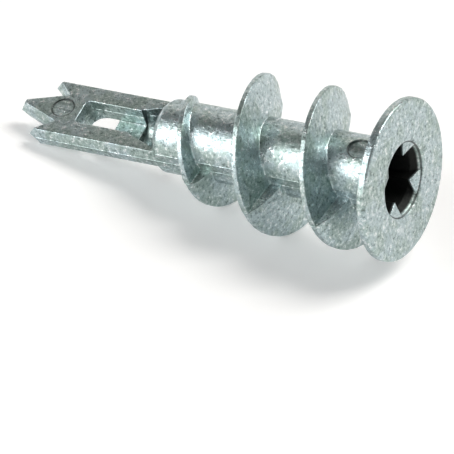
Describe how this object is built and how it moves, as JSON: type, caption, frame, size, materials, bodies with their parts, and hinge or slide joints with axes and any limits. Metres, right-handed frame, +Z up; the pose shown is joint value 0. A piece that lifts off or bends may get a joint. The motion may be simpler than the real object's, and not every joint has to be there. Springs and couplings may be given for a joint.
{
  "type": "self-drilling drywall anchor",
  "caption": "Self-drilling zinc anchor for plasterboard: flanged head with a cross drive, coarse outer thread and a forked drill blade with a window.",
  "frame": {"origin": "centre of the flange's underside, on the anchor's axis, where the wall's surface lies when it is fitted", "axes": "+Z is up as the anchor lies at rest on a level surface. +X is the level direction from the drill tip to the head, and the anchor's own axis rises 11 degrees above it towards the head. +Y follows by the right-hand rule"},
  "size_m": [0.0403, 0.015, 0.0166],
  "materials": {
    "zinc_casting": "matte as-cast zinc alloy"
  },
  "bodies": {
    "root": {"anchor": "zinc_casting"}
  },
  "joints": []
}
